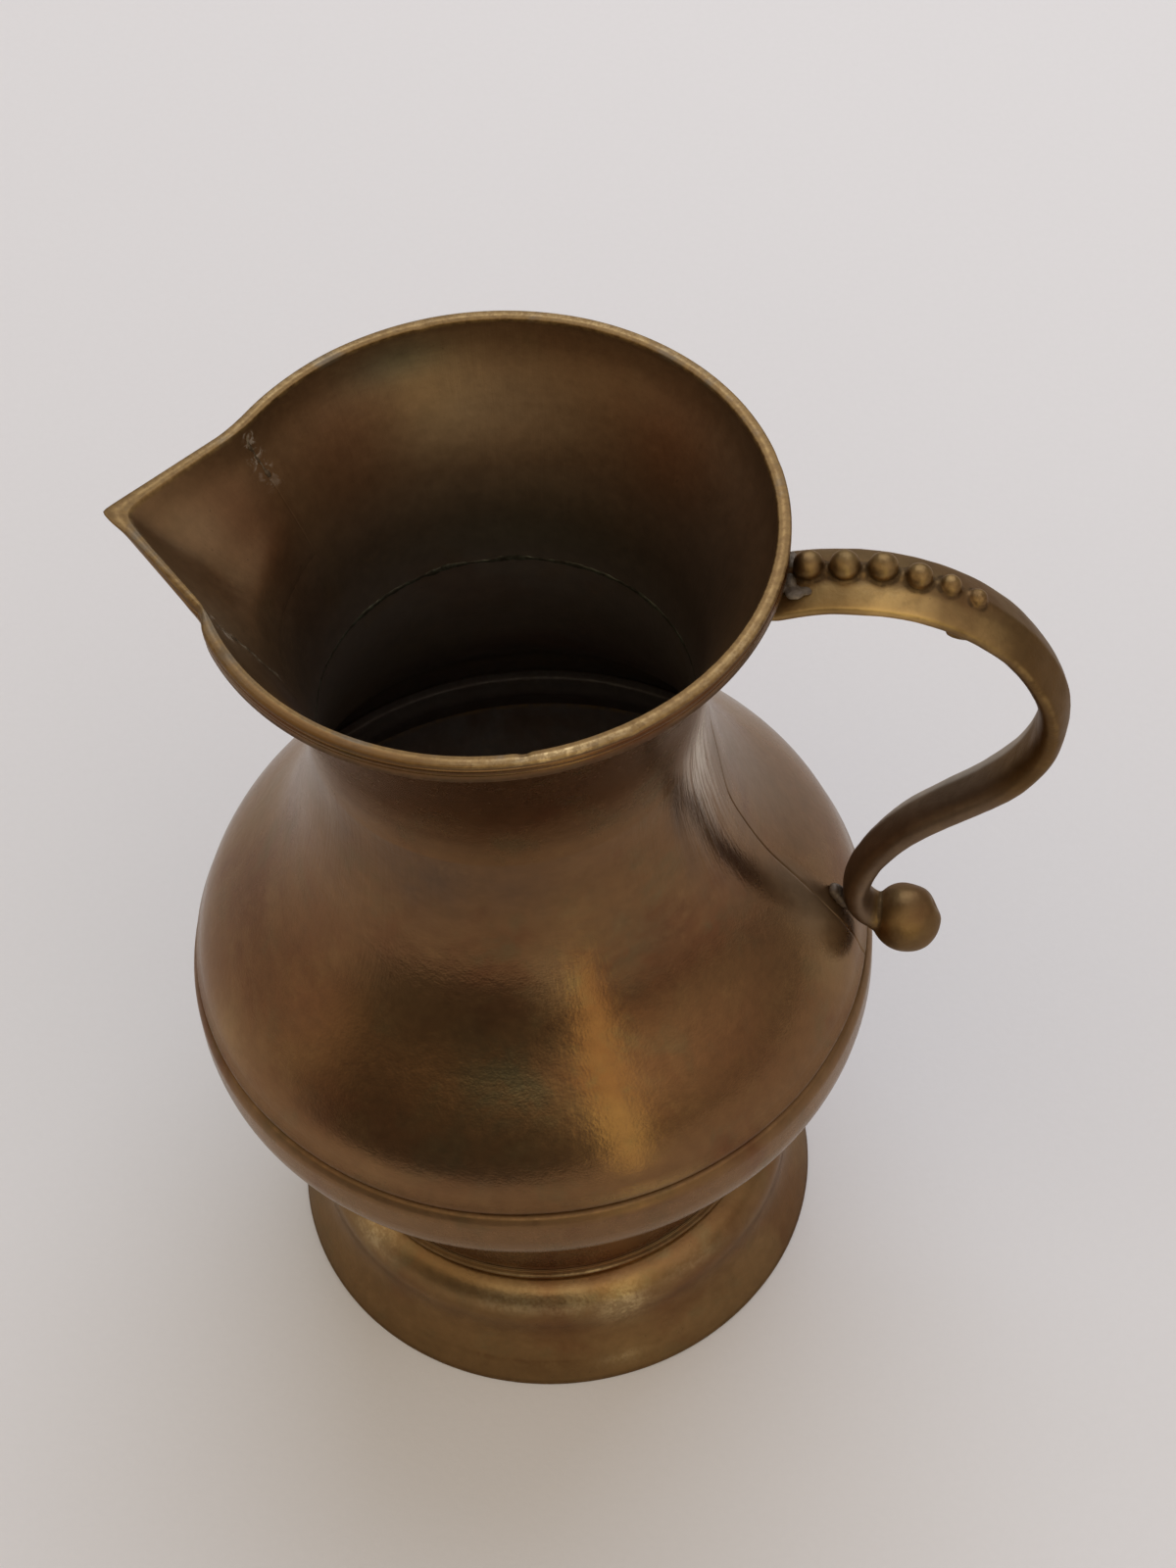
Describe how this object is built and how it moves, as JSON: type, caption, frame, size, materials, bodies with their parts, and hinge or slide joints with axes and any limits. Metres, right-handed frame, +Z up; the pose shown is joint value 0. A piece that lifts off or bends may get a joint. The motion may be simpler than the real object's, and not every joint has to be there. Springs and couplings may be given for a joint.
{
  "type": "brass jug",
  "caption": "Small pouring jug: flared mouth with a let-in V spout, pear-shaped body in turned shells with a belly band, wide hollow foot and a beaded scroll handle.",
  "frame": {"origin": "on the turning axis, in the plane of the flat ring that the foot stands on", "axes": "+Z up along the turning axis, +X towards the handle, -X towards the spout, +Y completes a right-handed frame"},
  "size_m": [0.1306, 0.1046, 0.1612],
  "materials": {
    "brass_mouth": "aged, satin, worn brighter on the rim",
    "brass_spout": "aged, satin",
    "brass_shoulder": "aged, semi-gloss, fine turning marks",
    "brass_bowl": "aged, semi-gloss",
    "brass_foot": "aged, satin, turning marks",
    "brass_cast": "cast, aged, slightly rough",
    "braze": "pitted, dull"
  },
  "bodies": {
    "root": {"mouth_collar": "brass_mouth", "spout": "brass_spout", "shoulder_shell": "brass_shoulder", "lower_bowl": "brass_bowl", "foot": "brass_foot", "handle": "brass_cast", "neck_braze_ring": "braze", "spout_braze_front": "braze", "spout_braze_rear": "braze", "handle_root_braze": "braze", "handle_scroll_braze": "braze", "foot_braze_ring": "braze"}
  },
  "joints": []
}
